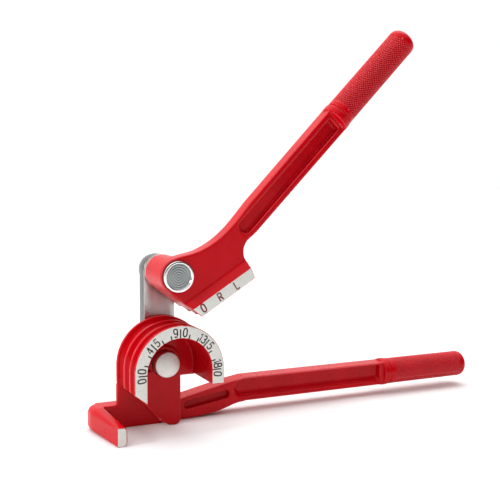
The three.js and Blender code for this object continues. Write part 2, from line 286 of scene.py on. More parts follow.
def combine(target, tool, operation):
    """Joins, cuts or intersects two solids and uses up the second."""
    modifier = target.modifiers.new("combine", "BOOLEAN")
    modifier.operation = operation
    modifier.solver = "EXACT"
    modifier.object = tool
    bpy.context.view_layer.update()
    bake(target, smooth=False)
    bpy.data.objects.remove(tool)
    return target


def cut(target, *tools):
    """Takes each tool out of a solid."""
    for tool in tools:
        combine(target, tool, "DIFFERENCE")
    return target


def cast(name, parts, step):
    """Melts overlapping solids into one casting with soft edges and fillets."""
    bm = bmesh.new()
    for part in parts:
        bm.from_mesh(part.data)
        bpy.data.objects.remove(part)
    mesh = bpy.data.meshes.new(name)
    bm.to_mesh(mesh)
    bm.free()
    obj = bpy.data.objects.new(name, mesh)
    bpy.context.scene.collection.objects.link(obj)
    remesh = obj.modifiers.new("melt", "REMESH")
    remesh.mode = "VOXEL"
    remesh.voxel_size = step
    soften = obj.modifiers.new("soften", "SMOOTH")
    soften.factor = 0.5
    soften.iterations = SMOOTH_ROUNDS
    bpy.context.view_layer.update()
    return bake(obj)


def soften_edges(obj, width, segments=3, angle=35.0):
    """Rounds the edges sharper than an angle, by a width in millimetres."""
    bevel = obj.modifiers.new("edges", "BEVEL")
    bevel.width = width * MM
    bevel.segments = segments
    bevel.limit_method = "ANGLE"
    bevel.angle_limit = math.radians(angle)
    bpy.context.view_layer.update()
    bake(obj)
    shade = np.array([p.area > 0 for p in obj.data.polygons])
    obj.data.polygons.foreach_set("use_smooth", shade)
    obj.data.set_sharp_from_angle(angle=math.radians(SHARP_ANGLE))
    return obj


def dress(obj, material, body, replaces=()):
    """Gives a piece its material, the body it moves with and the nodes it stands for."""
    obj.data.materials.clear()
    obj.data.materials.append(material)
    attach(obj, body)
    if replaces:
        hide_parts(*replaces)
    return obj


# ---- finishes ----------------------------------------------------------------------------------
class Finish:
    """A material's node tree, with short calls for the nodes it needs."""

    def __init__(self, name, **sockets):
        self.material = bpy.data.materials.new(name)
        self.material.use_nodes = True
        tree = self.material.node_tree
        self.nodes, self.links = tree.nodes, tree.links
        self.bsdf = self.nodes["Principled BSDF"]
        for socket, value in sockets.items():
            self.bsdf.inputs[socket.replace("_", " ")].default_value = value
        self.coords = self.nodes.new("ShaderNodeTexCoord").outputs["Object"]

    def join(self, source, target):
        self.links.new(source, target)

    def stretched(self, scale):
        mapping = self.nodes.new("ShaderNodeMapping")
        mapping.inputs["Scale"].default_value = scale
        self.join(self.coords, mapping.inputs["Vector"])
        return mapping.outputs["Vector"]

    def noise(self, scale, detail=3.0, vector=None):
        node = self.nodes.new("ShaderNodeTexNoise")
        node.inputs["Scale"].default_value = scale
        node.inputs["Detail"].default_value = detail
        self.join(vector or self.coords, node.inputs["Vector"])
        return node.outputs["Fac"]

    def spread(self, value, low, high, start=0.3, end=0.7):
        node = self.nodes.new("ShaderNodeMapRange")
        self.join(value, node.inputs["Value"])
        for socket, number in zip(("From Min", "From Max", "To Min", "To Max"), (start, end, low, high)):
            node.inputs[socket].default_value = number
        return node.outputs["Result"]

    def colours(self, factor, first, second):
        node = self.nodes.new("ShaderNodeMix")
        node.data_type = "RGBA"
        self.join(factor, node.inputs[0])
        for socket, colour in ((node.inputs[6], first), (node.inputs[7], second)):
            if hasattr(colour, "is_output"):
                self.join(colour, socket)
            else:
                socket.default_value = (*colour, 1.0)
        return node.outputs[2]

    def blend(self, factor, first, second):
        node = self.nodes.new("ShaderNodeMix")
        self.join(factor, node.inputs[0])
        for socket, value in ((node.inputs[2], first), (node.inputs[3], second)):
            if hasattr(value, "is_output"):
                self.join(value, socket)
            else:
                socket.default_value = value
        return node.outputs[0]

    def maths(self, operation, a, b):
        node = self.nodes.new("ShaderNodeMath")
        node.operation = operation
        for socket, value in zip(node.inputs, (a, b)):
            if hasattr(value, "is_output"):
                self.join(value, socket)
            else:
                socket.default_value = value
        return node.outputs[0]

    def bump(self, height, strength, distance, below=None):
        node = self.nodes.new("ShaderNodeBump")
        node.inputs["Strength"].default_value = strength
        node.inputs["Distance"].default_value = distance
        self.join(height, node.inputs["Height"])
        if below:
            self.join(below, node.inputs["Normal"])
        return node.outputs["Normal"]

    def convex(self, start, end, most):
        """How much the surface bulges out, from 0 at start to most at end."""
        bulge = self.nodes.new("ShaderNodeNewGeometry").outputs["Pointiness"]
        return self.spread(bulge, 0.0, most, start, end)

    def across(self):
        """How squarely the surface faces along Y, from 0 to 1."""
        direction = self.nodes.new("ShaderNodeNewGeometry").outputs["True Normal"]
        parts = self.nodes.new("ShaderNodeSeparateXYZ")
        self.join(direction, parts.inputs[0])
        return self.maths("ABSOLUTE", parts.outputs["Y"], 0.0)

    def facing_front(self, y_limit, centre):
        """1 on faces near centre that look along -Y and lie in front of y_limit, else 0."""
        place = self.nodes.new("ShaderNodeSeparateXYZ")
        self.join(self.coords, place.inputs[0])
        look = self.nodes.new("ShaderNodeSeparateXYZ")
        self.join(self.nodes.new("ShaderNodeNewGeometry").outputs["Normal"], look.inputs[0])
        away = self.nodes.new("ShaderNodeVectorMath")
        away.operation = "DISTANCE"
        away.inputs[1].default_value = centre * MM
        self.join(self.coords, away.inputs[0])
        near = self.maths("LESS_THAN", away.outputs["Value"], BARE_REACH)
        front = self.maths("LESS_THAN", place.outputs["Y"], y_limit * MM)
        facing = self.maths("LESS_THAN", look.outputs["Y"], -FRONT_LIMIT)
        return self.maths("MULTIPLY", near, self.maths("MULTIPLY", front, facing))


def shades(colour, factor):
    """A colour made lighter or darker, kept at 1 or below."""
    return tuple(min(1.0, c * factor) for c in colour)


def paint_finish(name, settings, bare_limit=None, centre=CENTRE_PIVOT):
    """Glossy enamel over cast metal, with a painted highlight in a paler colour on convex edges and knurl
    crests, and ground bare in front of bare_limit.
    """
    f = Finish(name, Coat_Weight=0.14, Coat_Roughness=0.07, Specular_IOR_Level=0.08)
    tone = f.spread(f.noise(70.0, 4.0), 0.0, 1.0)
    colour = f.colours(tone, shades(settings.paint, 0.92), shades(settings.paint, 1.08))
    # Convex edges and knurl crests take a paler colour, a painted highlight.
    colour = f.colours(f.convex(*HIGHLIGHT_CREST), colour, settings.painted_edge_highlight)
    rough = f.spread(f.noise(420.0, 3.0), settings.gloss - 0.05, settings.gloss + 0.08)
    normal = f.bump(f.noise(380.0, 2.0), 0.1, 0.0001)
    metal = None
    if bare_limit is not None:
        metal = f.facing_front(bare_limit, centre)
        grain = f.noise(1.0, 3.0, f.stretched((500.0, 500.0, 2600.0)))
        ground = f.colours(f.spread(grain, 0.0, 1.0), shades(settings.bare, 0.9), shades(settings.bare, 1.04))
        colour = f.colours(metal, colour, ground)
        rough = f.blend(metal, rough, f.spread(grain, 0.42, 0.6))
        f.join(f.maths("MULTIPLY", metal, 0.25), f.bsdf.inputs["Metallic"])
        normal = f.bump(grain, 0.08, 0.00004, normal)
    f.join(colour, f.bsdf.inputs["Base Color"])
    f.join(rough, f.bsdf.inputs["Roughness"])
    f.join(normal, f.bsdf.inputs["Normal"])
    return f.material


def metal_finish(name, colour, rough, stretch, depth=0.1, metallic=1.0, side_shade=1.0):
    """Metal with a fine machining grain, drawn out along the axes with a small stretch.

    With the last argument below 1, the faces that don't look along Y get a painted shade, darker by about
    that factor.
    """
    f = Finish(name, Metallic=metallic)
    grain = f.noise(1.0, 4.0, f.stretched(stretch))
    cloud = f.noise(140.0, 3.0)
    tone = f.blend(f.spread(cloud, 0.25, 0.75), grain, cloud)
    face = f.colours(f.spread(tone, 0.0, 1.0), shades(colour, 0.84), shades(colour, 1.08))
    # Painted shade: faces that don't look along Y are made darker than the faces that do.
    if side_shade < 1.0:
        rim = f.colours(f.spread(tone, 0.0, 1.0), shades(colour, side_shade * 0.8), shades(colour, side_shade * 1.15))
        face = f.colours(f.maths("LESS_THAN", f.across(), SIDE_LIMIT), face, rim)
    f.join(face, f.bsdf.inputs["Base Color"])
    f.join(f.spread(grain, rough - 0.07, rough + 0.1), f.bsdf.inputs["Roughness"])
    f.join(f.bump(grain, depth, 0.00005), f.bsdf.inputs["Normal"])
    return f.material


def ink_finish(name, colour):
    """Thin matt ink with uneven wear."""
    f = Finish(name, Specular_IOR_Level=0.3)
    wear = f.spread(f.noise(1500.0, 3.0), 0.0, 1.0)
    f.join(f.colours(wear, shades(colour, 0.8), shades(colour, 1.5)), f.bsdf.inputs["Base Color"])
    f.join(f.spread(f.noise(2500.0, 2.0), 0.45, 0.65), f.bsdf.inputs["Roughness"])
    return f.material


# ---- the former and its handle --------------------------------------------------------------------
def groove_line():
    """Points (depth, y) across the grooves, from the front face backwards."""
    line = [(0.0, FRONT)]
    y = FRONT + LAND_W[0]
    for i, d in enumerate(TUBE_D):
        line += [(depth, y + d / 2 + along) for along, depth in arc(0, 0, d / 2, 180, 0, GROOVE_STEPS)]
        y += d + LAND_W[i + 1]
    return line


def ring_and_legs():
    """The grooved half ring, with both legs run straight down from its ends."""
    rim = [(BEND_R - depth, y) for depth, y in groove_line()]
    section = [(RING_BORE_R, FRONT)] + rim + [
        (FLANGE_R, BASE_FRONT), (FLANGE_R, PLATE_FRONT), (RING_BORE_R, PLATE_FRONT)]
    path = [(-1.0, 0.0, -17.0), (-1.0, 0.0, -8.0)]
    path += [(math.cos(t), math.sin(t), 0.0) for t in np.linspace(math.pi, 0, 121)]
    path += [(1.0, 0.0, -4.0), (1.0, 0.0, -8.0)]
    ring = loft([[(r * c, y, PIVOT_H + r * s + down) for r, y in section] for c, s, down in path])
    below = prism([(-40, 1.75), (-25, -10), (-17.2, -16), (-10, -24), (-40, -24)], FRONT - 1, PLATE_FRONT + 1)
    return cut(ring, shift(below, z=PIVOT_H))


def post_parts():
    """The post that holds the centre pin, the web behind it and the foot under the link."""
    z = PIVOT_H
    outline = [(-18.3, z - 4.5), (-18.3, z - 15.1), (-17.2, z - 16), (-10.4, z - 22.8), (-3, z - 31.6)]
    outline += arc(4.2, 6.5, 6.5, 225, 270, 8) + arc(5.9, 3.3, 3.3, 270, 360, 10)
    outline += arc(0, z, POST_R, 0, 205, 48)
    web = [(-18.4, z - 8.5), (18.4, z - 8.5)] + arc(0, z, 18.4, 0, 180, 64)
    low = [(-18.3, LINK_CLEARANCE_Z)] + [p for p in outline if p[1] < LINK_CLEARANCE_Z]
    low.append((POST_R, LINK_CLEARANCE_Z))
    parts = [prism(outline, POST_FRONT, PLATE_FRONT + 0.1), prism(web, PLATE_FRONT - 4, PLATE_FRONT)]
    bore = [shift(lathe([(CENTRE_HEAD_R + GAP, POST_FRONT - 2), (CENTRE_HEAD_R + GAP, PLATE_FRONT + 2)]), z=z)
            for _ in parts]
    return [cut(p, b) for p, b in zip(parts, bore)] + [prism(low, POST_FRONT, 0)]


def base_plate():
    """The base and the lower arm, with the arm's pockets."""
    top, bottom = LOWER_ARM_Z + ARM_H / 2, LOWER_ARM_Z - ARM_H / 2
    outline = [(-21.5, 0)]
    outline += flow([(14, 0), (24, 0.8), (33, 1.9), (40, 3.6), (46, 5.5), (53, bottom)], 6)
    outline += [(LOWER_ARM_END, bottom), (LOWER_ARM_END, top)]
    outline += flow([(53, top), (43, 18.9), (33, 16.8), (22, 14.4), (POST_R, 11.5)], 6)
    outline += [(POST_R, LINK_CLEARANCE_Z), (-21.5, LINK_CLEARANCE_Z)]
    plate = prism(outline, PLATE_FRONT, PLATE_BACK)
    pocket_end = LOWER_ARM_END - RAIL_W
    # The front pocket is cut in layers that narrow with depth and melt into a sloped lower wall.
    front = []
    for t in np.linspace(0, 1, 9):
        low, high = LOWER_ARM_Z - 5.1 + 2.6 * t, LOWER_ARM_Z + 6.0 - 0.1 * t
        middle, half = (high + low) / 2, (high - low) / 2
        layer = pocket_outline((45.2 + half + t, middle), (pocket_end - t, middle), half, 1)
        front.append(prism(layer, PLATE_FRONT - 1 - 0.1 * t, PLATE_FRONT + 0.4 + 3.4 * t))
    hollow = pocket_outline((60, LOWER_ARM_Z), (pocket_end, LOWER_ARM_Z), ARM_H / 2 - RAIL_W, 1)
    rear = prism(hollow, PLATE_BACK - LOWER_POCKET_D, PLATE_BACK + 1)
    root = prism(pocket_outline((16.5, 8.2), (42.2, 12.1), 2.6, 2.59),
                 PLATE_FRONT - 1, PLATE_FRONT + LOWER_POCKET_D)
    return cut(plate, *front, rear, root)


def rounded_section(left, right, low, high, radii, y):
    """A rectangle in X and Z with four corner radii: low left, low right, high right, high left."""
    corners = ((left, low, 1, 1, 180), (right, low, -1, 1, 270),
               (right, high, -1, -1, 0), (left, high, 1, -1, 90))
    points = []
    for (x, z, sx, sz, start), r in zip(corners, radii):
        points += [(a, y, b) for a, b in arc(x + sx * r, z + sz * r, r, start, start + 90, 6)]
    return points


def loft(sections):
    """A solid run through outlines that have the same number of points."""
    n = len(sections[0])
    points = [p for section in sections for p in section]
    faces = [tuple(range(n)), tuple(range(n * (len(sections) - 1), n * len(sections)))]
    for j in range(len(sections) - 1):
        for i in range(n):
            i2 = (i + 1) % n
            faces.append((j * n + i, j * n + i2, (j + 1) * n + i2, (j + 1) * n + i))
    return make_object("loft", points, faces)


def hook_parts():
    """The hook's tapered arm with its round back corner, and the parts that tie it to the base."""
    tip = [rounded_section(-34.9, -30.0, 0.0, 10.0, (0.5, 1.3, 2.2, 0.5), HOOK_TIP_Y),
           rounded_section(-35.2, -29.3, 0.0, 10.2, (0.7, 1.4, 2.8, 0.7), HOOK_TIP_Y + 1.5)]
    reach = BASE_FRONT - 2 - HOOK_TIP_Y
    for t in (0.2, 0.4, 0.6, 0.8, 1.0):
        tip.append(rounded_section(-34.9 - 5.5 * t, -29.0 - 4.5 * t, 0.0, 10 + 3.1 * t,
                                   (0.7 + 2.0 * t, 1.4 - 0.9 * t, 2.6 - 2.0 * t, 0.7 + 3.1 * t),
                                   HOOK_TIP_Y + reach * t))
    back = [rounded_section(-40.7, -33, 0.0, HOOK_TOP, (2.8, 0.4, 0.4, 4.0), BASE_FRONT)]
    for turn in range(0, 91, 10):
        t = math.radians(turn)
        back.append(rounded_section(-35.7 - 5 * math.cos(t), -33, 0.0, HOOK_TOP - 0.9 * (1 - math.cos(t)),
                                    (2.8, 0.4, 0.4, 1.6 + 2.4 * math.cos(t)),
                                    HOOK_BACK - 5 + 5 * math.sin(t)))
    bridge = [(-35.5, 0), (-20, 0), (-20, HOOK_TOP), (-35.5, HOOK_TOP)]
    wall = [(-FLANGE_R, 0), (0, 0), (0, LINK_CLEARANCE_Z), (-FLANGE_R, LINK_CLEARANCE_Z)]
    return [loft(tip + back), prism(bridge, BASE_FRONT, HOOK_BACK),
            prism(wall, BASE_FRONT, PLATE_FRONT + 0.8)]


def lay_along_x(obj):
    """Lays a piece turned about Y down along +X."""
    return move(obj, Matrix.Rotation(-math.pi / 2, 4, "Z"))


def collar_disc():
    """The round collar between an arm and its grip."""
    return lathe([(COLLAR_R - 0.5, -0.5), (COLLAR_R, 0),
                  (COLLAR_R, COLLAR_L - 0.4), (COLLAR_R - 0.4, COLLAR_L)])


# ---- the shoe and its handle, drawn about the shoe pin with the shoe's face level ------------------
def arm_line(x):
    """Height of the upper arm's middle line."""
    gx, gz = UPPER_GRIP_START
    return gz - (gx - x) * math.tan(math.radians(HANDLE_ANGLE))


def shoe_plate():
    """The plate behind the shoe's face that runs out into the upper arm, with its pockets."""
    half = ARM_H / 2 / math.cos(math.radians(HANDLE_ANGLE))
    end = UPPER_GRIP_START[0] - COLLAR_L + 1
    lean = math.tan(math.radians(HANDLE_ANGLE)) * half
    outline = arc(0, 0, SHOE_BOSS_R, 95, 200, 30)
    outline += [(-1.6, -23), (SHOE_L - 0.5, -23), (SHOE_L, SHOE_TOP)]
    outline += arc(46.4, -15, 9.3, 165, 104, 14) + [(50, arm_line(50) - half)]
    outline += [(end + lean, arm_line(end) - half), (end - lean, arm_line(end) + half)]
    outline += flow([(56, arm_line(56) + half), (42, 6.3), (34, 4.6), (27, 3.9), (20.6, 4.2), (15, 5.2),
                     (8, 7.6), (3, 9.2)], 6)
    plate = prism(outline, SHOE_ARM_FRONT, SHOE_ARM_FRONT + SHOE_ARM_T)
    pocket_end = UPPER_GRIP_START[0] - COLLAR_L - RAIL_W
    pocket = pocket_outline((46.8, arm_line(46.8)), (pocket_end, arm_line(pocket_end)), ARM_H / 2 - RAIL_W, 1)
    back = SHOE_ARM_FRONT + SHOE_ARM_T
    front_pocket = prism(pocket, SHOE_ARM_FRONT - 1, SHOE_ARM_FRONT + UPPER_POCKET_D)
    rear_pocket = prism(pocket, back - UPPER_POCKET_D, back + 1)
    return cut(plate, front_pocket, rear_pocket, shoe_bore())


def shoe_bore():
    """A solid to cut the bush's hole with."""
    return lathe([(BUSH_R, FRONT - 2), (BUSH_R, PLATE_FRONT)])


def shoe_block():
    """The grooved block that faces the former."""
    face = [(max(y, SHOE_FRONT), -BEND_R + depth) for depth, y in groove_line() if y < SHOE_BACK]
    section = face + [(SHOE_BACK, -BEND_R), (SHOE_BACK, SHOE_TOP + 1), (SHOE_ARM_FRONT, SHOE_TOP + 1),
                      (SHOE_ARM_FRONT, SHOE_TOP), (SHOE_FRONT, STRIP_TOP)]
    ends = [(-5.6, -12), (-0.5, -BEND_R - 1), (SHOE_L - 1, -BEND_R - 1), (SHOE_L + 1.2, -12)]
    return combine(prism(section, -10, SHOE_L + 5, "x"), prism(ends, FRONT - 1, PLATE_FRONT), "INTERSECT")


def shoe_parts():
    """The plate, boss, rib, block and collar that melt into the shoe casting."""
    boss = lathe([(SHOE_BOSS_R, SHOE_ARM_FRONT), (SHOE_BOSS_R, SHOE_BACK),
                  (BUSH_R, SHOE_BACK), (BUSH_R, SHOE_ARM_FRONT)], closed=True)
    rib = arc(0, 0, SHOE_BOSS_R, 150, 205, 12) + [(-3.1, -19), (5, -19), (-2, -2)]
    collar = lay_along_x(shift(collar_disc(), y=-COLLAR_L))
    move(collar, Matrix.Rotation(-math.radians(HANDLE_ANGLE), 4, "Y"))
    shift(collar, UPPER_GRIP_START[0], SHOE_ARM_FRONT + SHOE_ARM_T / 2, UPPER_GRIP_START[1])
    rib_part = cut(prism(rib, SHOE_ARM_FRONT + 1, SHOE_BACK), shoe_bore())
    return [shoe_plate(), boss, rib_part, shoe_block(), collar]


def to_shoe(obj):
    """Brings a piece drawn about the shoe pin to its place in the tool."""
    return shift(move(obj, SHOE_TURN), z=SHOE_PIVOT.z)


# ---- grips -----------------------------------------------------------------------------------------
def knurled_grip(name, length, shape):
    """A bar along +X with a diamond knurl, a plain stretch at its root and a rounded tip."""
    teeth = round(2 * math.pi * GRIP_R * MM / shape.knurl_pitch)
    lead = shape.knurl_pitch / MM * 1.3
    around = teeth * 6
    stations = np.concatenate([np.linspace(GAP, 2.6, 12)[:-1], np.arange(2.6, length - TIP_L, lead / 6),
                               length - TIP_L + TIP_L * np.sin(np.linspace(0, math.pi / 2, 14))])
    tip = np.clip((stations - (length - TIP_L)) / TIP_L, 0, 1)
    radius = GRIP_R - TIP_L * (1 - np.sqrt(1 - np.minimum(tip, 0.97) ** 2))
    radius -= 0.5 * np.clip(1 - (stations - GAP) / 0.7, 0, 1)
    turn = np.arange(around) * 2 * math.pi / around

    def teeth_wave(t):
        return 1 - np.abs(2 * (t - np.floor(t)) - 1)

    s, a = np.meshgrid(stations, turn * teeth / (2 * math.pi), indexing="ij")
    diamond = np.minimum(teeth_wave(a + s / lead), teeth_wave(a - s / lead))
    fade = np.clip((s - 3.4) / 0.8, 0, 1) * np.clip((length - 5.2 - s) / 0.8, 0, 1)
    r = radius[:, None] - shape.knurl_depth / MM * fade * (1 - np.minimum(diamond * 1.25, 1))
    points = np.stack([s, r * np.cos(turn)[None, :], r * np.sin(turn)[None, :]], -1).reshape(-1, 3)
    rows = len(stations)
    j, i = np.meshgrid(np.arange(rows - 1), np.arange(around), indexing="ij")
    i2 = (i + 1) % around
    quads = np.stack([j * around + i, j * around + i2, (j + 1) * around + i2, (j + 1) * around + i], -1)
    faces = [tuple(q) for q in quads.reshape(-1, 4).tolist()]
    faces += [tuple(range(around)), tuple(range((rows - 1) * around, rows * around))]
    obj = make_object(name, points.tolist(), faces)
    obj.data.polygons.foreach_set("use_smooth", [True] * (len(faces) - 2) + [False, False])
    return obj


# ---- marks -----------------------------------------------------------------------------------------
def oval(cx, cy, rx, ry):
    """A closed round stroke that is a little squarer than an ellipse."""
    turn = [2 * math.pi * i / OVAL_STEPS for i in range(OVAL_STEPS + 1)]
    return [(cx + rx * math.copysign(abs(math.cos(t)) ** 0.75, math.cos(t)),
             cy + ry * math.copysign(abs(math.sin(t)) ** 0.75, math.sin(t))) for t in turn]


# Strokes of each mark, one unit high and centred on its width.
STROKES = {
    "0": [oval(0, 0.5, 0.24, 0.5)],
    "1": [[(-0.16, 0.76), (0.04, 1), (0.04, 0)]],
    "3": [[(-0.22, 0.86), (-0.08, 0.99), (0.08, 0.99), (0.2, 0.86), (0.2, 0.68), (0.06, 0.54), (-0.04, 0.53)],
          [(0.06, 0.54), (0.23, 0.4), (0.23, 0.16), (0.08, 0.01), (-0.1, 0.01), (-0.24, 0.14)]],
    "4": [[(0.1, 0), (0.1, 1)], [(0.1, 1), (-0.26, 0.3), (0.26, 0.3)]],
    "5": [[(0.2, 1), (-0.16, 1), (-0.21, 0.55), (0, 0.63), (0.17, 0.55), (0.24, 0.36), (0.2, 0.12),
           (0.06, 0.01), (-0.12, 0.01), (-0.24, 0.14)]],
    "8": [oval(0, 0.75, 0.2, 0.25), oval(0, 0.26, 0.24, 0.26)],
    "9": [oval(0, 0.7, 0.23, 0.3), [(0.23, 0.7), (0.21, 0.3), (0.08, 0.01), (-0.1, 0.01), (-0.2, 0.12)]],
    "R": [[(-0.22, 0), (-0.22, 1), (0.06, 1), (0.21, 0.9), (0.21, 0.62), (0.06, 0.5), (-0.22, 0.5)],
          [(0.02, 0.5), (0.25, 0)]],
    "L": [[(-0.2, 1), (-0.2, 0), (0.22, 0)]],
}


def inked(name, lines, width, face_y):
    """Flat strokes of one width, lying on the plane y = face_y."""
    curve = bpy.data.curves.new(name, "CURVE")
    curve.dimensions = "3D"
    curve.bevel_depth = width / 2
    curve.bevel_resolution = 2
    curve.use_fill_caps = True
    for line in lines:
        closed = len(line) > 2 and line[0] == line[-1]
        points = line[:-1] if closed else line
        spline = curve.splines.new("POLY")
        spline.points.add(len(points) - 1)
        for point, (x, z) in zip(spline.points, points):
            point.co = (x * MM, 0, z * MM, 1)
        spline.use_cyclic_u = closed
    obj = bpy.data.objects.new(name, curve)
    bpy.context.scene.collection.objects.link(obj)
    bpy.context.view_layer.update()
    mesh = bpy.data.meshes.new_from_object(obj.evaluated_get(bpy.context.evaluated_depsgraph_get()))
    bpy.data.objects.remove(obj)
    flat = bpy.data.objects.new(name, mesh)
    bpy.context.scene.collection.objects.link(flat)
    thin = Matrix.Diagonal((1, 0.2 * MM / width, 1, 1))
    return shift(move(flat, thin), y=face_y)


def on_ring(angle, x, up):
    """A point of a mark at a scale angle: x along the reading direction, up away from the pivot."""
    t = math.radians(angle)
    r = 19.15 + up
    return (-math.cos(t) * r + math.sin(t) * x, PIVOT_H + math.sin(t) * r + math.cos(t) * x)


def ring_lines():
    """Strokes of the angle scale, from 0 to 180 degrees."""
    groups = {0: (("0", -6.9), ("0", 6.9)), 45: (("4", -7.2), ("5", 7.2)), 90: (("9", -7.2), ("0", 7.2)),
              135: (("1", -12.0), ("3", -6.2), ("5", 7.4)), 180: (("1", -11.4), ("8", -5.6), ("0", 7.0))}
    lines = []
    for angle, marks in groups.items():
        lines.append([on_ring(angle, 0, -0.9), on_ring(angle, 0, 3.9)])
        for mark, offset in marks:
            for stroke in STROKES[mark]:
                lines.append([on_ring(angle + offset, 4.3 * a, 4.3 * b) for a, b in stroke])
    for angle in (15, 30, 60, 75, 105, 120, 150, 165):
        lines.append([on_ring(angle, 0, -0.9), on_ring(angle, 0, 1.35)])
    return lines


def shoe_lines():
    """Strokes of the three index marks on the shoe."""
    lines = []
    for mark, t, low in (("0", 2.3, -23.5), ("R", 13.3, -23.9), ("L", 24.3, -23.9)):
        for stroke in STROKES[mark]:
            lines.append([(t + 4.6 * a, low + 4.4 * b) for a, b in stroke])
        lines.append([(t + 0.1, -24.75), (t + 0.1, -24.5)])
    return lines


# ---- operators ---------------------------------------------------------------------------------------
class BuildFormer(bpy.types.Operator):
    """Builds the former casting with its base, hook and lower arm"""
    bl_idname = "tube_bender.former"
    bl_label = "Former casting"

    def execute(self, context):
        scene = context.scene
        collar = shift(lay_along_x(collar_disc()), x=LOWER_ARM_END, z=LOWER_ARM_Z)
        parts = [ring_and_legs(), base_plate(), collar] + post_parts() + hook_parts()
        casting = cast("former_casting_detail", parts, scene.bender_shape.cast_step)
        finish = paint_finish("former_enamel", scene.bender_finish, FRONT + 0.25)
        dress(casting, finish, "former_handle", ("former_casting",))
        return {"FINISHED"}


class BuildShoe(bpy.types.Operator):
    """Builds the shoe casting with its boss and upper arm"""
    bl_idname = "tube_bender.shoe"
    bl_label = "Shoe casting"

    def execute(self, context):
        scene = context.scene
        casting = to_shoe(cast("shoe_casting_detail", shoe_parts(), scene.bender_shape.cast_step))
        finish = paint_finish("shoe_enamel", scene.bender_finish, SHOE_FRONT + 0.25, SHOE_PIVOT)
        dress(casting, finish, "shoe_handle", ("shoe_casting",))
        return {"FINISHED"}


class BuildGrips(bpy.types.Operator):
    """Builds both knurled grips"""
    bl_idname = "tube_bender.grips"
    bl_label = "Knurled grips"

    def execute(self, context):
        scene = context.scene
        finish = paint_finish("grip_enamel", scene.bender_finish)
        lower = knurled_grip("former_grip_detail", LOWER_GRIP_L, scene.bender_shape)
        shift(lower, x=LOWER_ARM_END + COLLAR_L, z=LOWER_ARM_Z)
        dress(lower, finish, "former_handle", ("former_grip",))
        upper = knurled_grip("shoe_grip_detail", UPPER_GRIP_L, scene.bender_shape)
        move(upper, Matrix.Rotation(-math.radians(HANDLE_ANGLE), 4, "Y"))
        shift(upper, UPPER_GRIP_START[0], SHOE_ARM_FRONT + SHOE_ARM_T / 2, UPPER_GRIP_START[1])
        dress(to_shoe(upper), finish, "shoe_handle", ("shoe_grip",))
        return {"FINISHED"}


class BuildPins(bpy.types.Operator):
    """Builds the centre pin and the shoe pin"""
    bl_idname = "tube_bender.pins"
    bl_label = "Pins"

    def execute(self, context):
        tail = [(PIN_R, CLIP_Y - 0.1), (PIN_R - 0.8, CLIP_Y - 0.1),
                (PIN_R - 0.8, CLIP_Y + 1.1), (PIN_R, CLIP_Y + 1.1),
                (PIN_R, PIN_END - 0.6), (PIN_R - 0.6, PIN_END), (0.2, PIN_END)]
        head = CENTRE_HEAD_FRONT
        shoulder = PLATE_FRONT - 0.5
        centre = lathe([(0.2, head), (CENTRE_HEAD_R - 0.5, head), (CENTRE_HEAD_R - 0.15, head + 0.15),
                        (CENTRE_HEAD_R, head + 0.5), (CENTRE_HEAD_R, shoulder), (PIN_R, shoulder)] + tail,
                       "centre_pin_detail")
        shift(soften_edges(centre, 0.12, 2), z=PIVOT_H)
        machined = metal_finish("machined_pin", (0.72, 0.71, 0.68), 0.42, (900.0, 60.0, 900.0), metallic=0.7)
        dress(centre, machined, "former_handle", ("centre_pin",))

        face = SHOE_ARM_FRONT - GAP - 2
        rim = SHOE_HEAD_R - 1.5
        rings = [(r, face + 0.9 + 0.06 * math.sin(r * 2 * math.pi / 1.25))
                 for r in np.linspace(0.2, rim - 0.3, 60)]
        shoe = lathe(rings + [(rim, face + 0.5), (rim + 0.3, face), (SHOE_HEAD_R - 0.5, face),
                              (SHOE_HEAD_R - 0.15, face + 0.15), (SHOE_HEAD_R, face + 0.5),
                              (SHOE_HEAD_R, face + 2), (PIN_R, face + 2)] + tail, "shoe_pin_detail", 128)
        shift(soften_edges(shoe, 0.1, 2, 45), z=SHOE_PIVOT.z)
        chrome = metal_finish("polished_chrome", (0.86, 0.86, 0.85), 0.12, (700.0, 80.0, 700.0), 0.04)
        dress(shoe, chrome, "link", ("shoe_pin",))
        recess = metal_finish("turned_recess", (0.34, 0.36, 0.36), 0.36, (900.0, 90.0, 900.0), 0.1)
        shoe.data.materials.append(recess)
        for polygon in shoe.data.polygons:
            from_axis = math.hypot(polygon.center.x, polygon.center.z - SHOE_PIVOT.z * MM)
            if from_axis < (rim + 0.1) * MM and polygon.center.y < SHOE_ARM_FRONT * MM:
                polygon.material_index = 1
        return {"FINISHED"}


class BuildLink(bpy.types.Operator):
    """Builds the link bar between the two pins"""
    bl_idname = "tube_bender.link"
    bl_label = "Link bar"

    def execute(self, context):
        outline = arc(0, 0, LINK_HALF_W, 180, 360, 48) + arc(0, LINK_L, LINK_HALF_W, 0, 180, 48)
        bar = prism(outline, LINK_FRONT, LINK_BACK)
        bush = lathe([(BUSH_R, LINK_FRONT - 1), (BUSH_R, LINK_BACK + 1)])
        pin = shift(lathe([(PIN_R + GAP, LINK_FRONT - 1), (PIN_R + GAP, LINK_BACK + 1)]), z=LINK_L)
        shift(soften_edges(cut(bar, bush, pin), 0.45, 3), z=PIVOT_H)
        # The link's sides are painted darker than its faces, a painted shade.
        steel = metal_finish("brushed_link", (0.58, 0.58, 0.57), 0.33, (2600.0, 2600.0, 22.0), 0.16,
                             side_shade=0.28)
        dress(bar, steel, "link", ("link_bar",))
        bar.name = "link_bar_detail"
        return {"FINISHED"}


